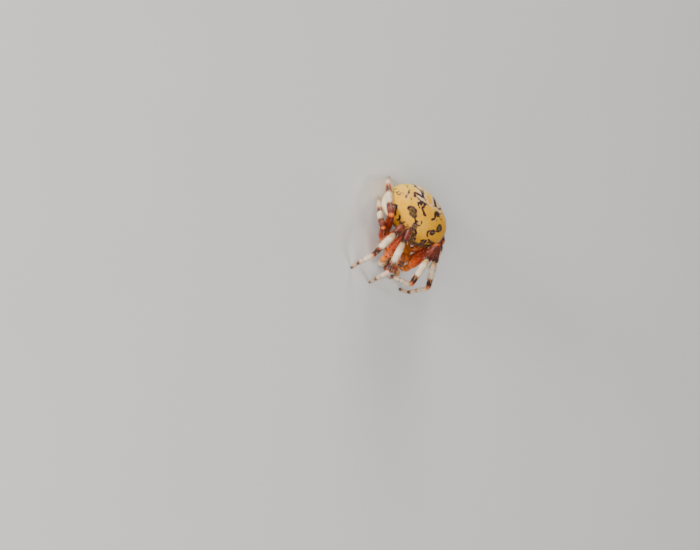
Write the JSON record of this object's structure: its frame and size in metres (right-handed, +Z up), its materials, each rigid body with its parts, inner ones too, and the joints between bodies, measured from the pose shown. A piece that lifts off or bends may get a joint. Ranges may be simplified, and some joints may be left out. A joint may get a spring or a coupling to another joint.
{
  "type": "orb weaver spider",
  "caption": "Adult female orb weaver spider, life size, with a broad marbled yellow abdomen held over the shield and banded legs drawn up.",
  "frame": {"origin": "middle of the footprint box on the floor, under the spider", "axes": "+Z up from the floor, the head towards -Y, the spider's own left towards +X"},
  "size_m": [0.0226, 0.0212, 0.0106],
  "materials": {
    "abdomen_yellow": "satin, finely haired",
    "shield_orange": "satin",
    "leg_orange": "satin",
    "leg_red": "satin",
    "leg_cream": "satin",
    "jaw_brown": "satin",
    "palp_cream": "satin",
    "belly_dark": "satin",
    "eye_black": "glossy"
  },
  "bodies": {
    "root": {"abdomen": "abdomen_yellow", "carapace": "shield_orange", "chelicera_l": "jaw_brown", "chelicera_r": "jaw_brown", "eye_anterior_lateral_l": "eye_black", "eye_anterior_lateral_r": "eye_black", "eye_anterior_median_l": "eye_black", "eye_anterior_median_r": "eye_black", "eye_posterior_lateral_l": "eye_black", "eye_posterior_lateral_r": "eye_black", "eye_posterior_median_l": "eye_black", "eye_posterior_median_r": "eye_black", "leg_l1_coxa": "leg_orange", "leg_l1_femur": "leg_red", "leg_l1_foot": "leg_cream", "leg_l1_patella": "leg_red", "leg_l1_tibia": "leg_cream", "leg_l2_coxa": "leg_orange", "leg_l2_femur": "leg_red", "leg_l2_foot": "leg_cream", "leg_l2_patella": "leg_red", "leg_l2_tibia": "leg_cream", "leg_l3_coxa": "leg_orange", "leg_l3_femur": "leg_red", "leg_l3_foot": "leg_cream", "leg_l3_patella": "leg_red", "leg_l3_tibia": "leg_cream", "leg_l4_coxa": "leg_orange", "leg_l4_femur": "leg_red", "leg_l4_foot": "leg_cream", "leg_l4_patella": "leg_red", "leg_l4_tibia": "leg_cream", "leg_r1_coxa": "leg_orange", "leg_r1_femur": "leg_red", "leg_r1_foot": "leg_cream", "leg_r1_patella": "leg_red", "leg_r1_tibia": "leg_cream", "leg_r2_coxa": "leg_orange", "leg_r2_femur": "leg_red", "leg_r2_foot": "leg_cream", "leg_r2_patella": "leg_red", "leg_r2_tibia": "leg_cream", "leg_r3_coxa": "leg_orange", "leg_r3_femur": "leg_red", "leg_r3_foot": "leg_cream", "leg_r3_patella": "leg_red", "leg_r3_tibia": "leg_cream", "leg_r4_coxa": "leg_orange", "leg_r4_femur": "leg_red", "leg_r4_foot": "leg_cream", "leg_r4_patella": "leg_red", "leg_r4_tibia": "leg_cream", "mouthparts": "jaw_brown", "palp_l": "palp_cream", "palp_r": "palp_cream", "pedicel": "jaw_brown", "spinnerets": "belly_dark", "sternum": "belly_dark"}
  },
  "joints": []
}
